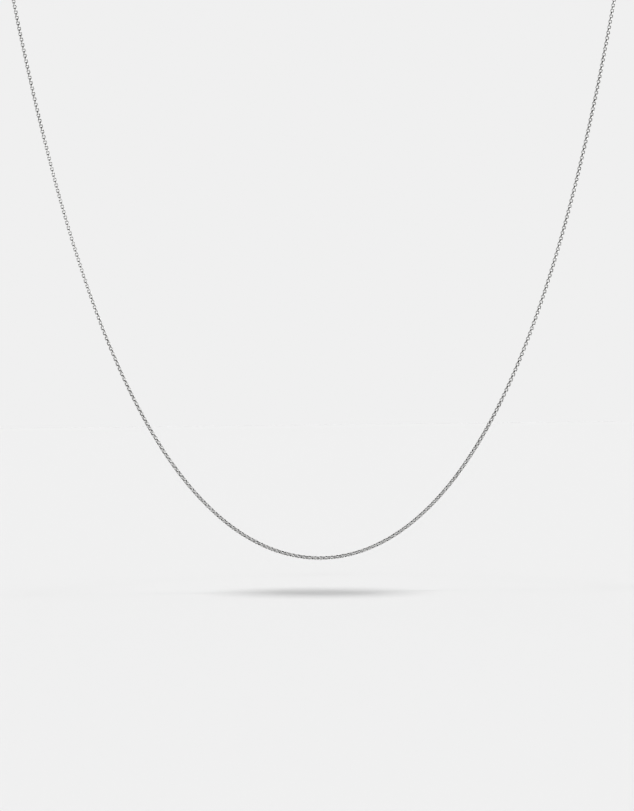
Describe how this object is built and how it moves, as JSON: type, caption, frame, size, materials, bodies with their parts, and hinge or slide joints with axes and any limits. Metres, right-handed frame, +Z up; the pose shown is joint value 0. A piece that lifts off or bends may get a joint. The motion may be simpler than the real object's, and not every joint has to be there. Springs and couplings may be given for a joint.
{
  "type": "box chain necklace",
  "caption": "Fine polished box chain necklace, closed at the nape with a bolt ring, hanging in a long open curve as it does when worn.",
  "frame": {"origin": "middle of the closure, where the necklace lies on the nape of the neck", "axes": "+Z up, -Y towards the wearer's front, where the chain hangs, and +X towards the wearer's left"},
  "size_m": [0.1544, 0.0753, 0.1803],
  "materials": {
    "chain_silver": "polished silver",
    "closure_silver": "polished silver"
  },
  "bodies": {
    "root": {"chain": "chain_silver", "end_link_left": "chain_silver", "end_link_right": "chain_silver", "catch_ring": "closure_silver", "clasp_ring": "closure_silver", "clasp": "closure_silver"}
  },
  "joints": []
}
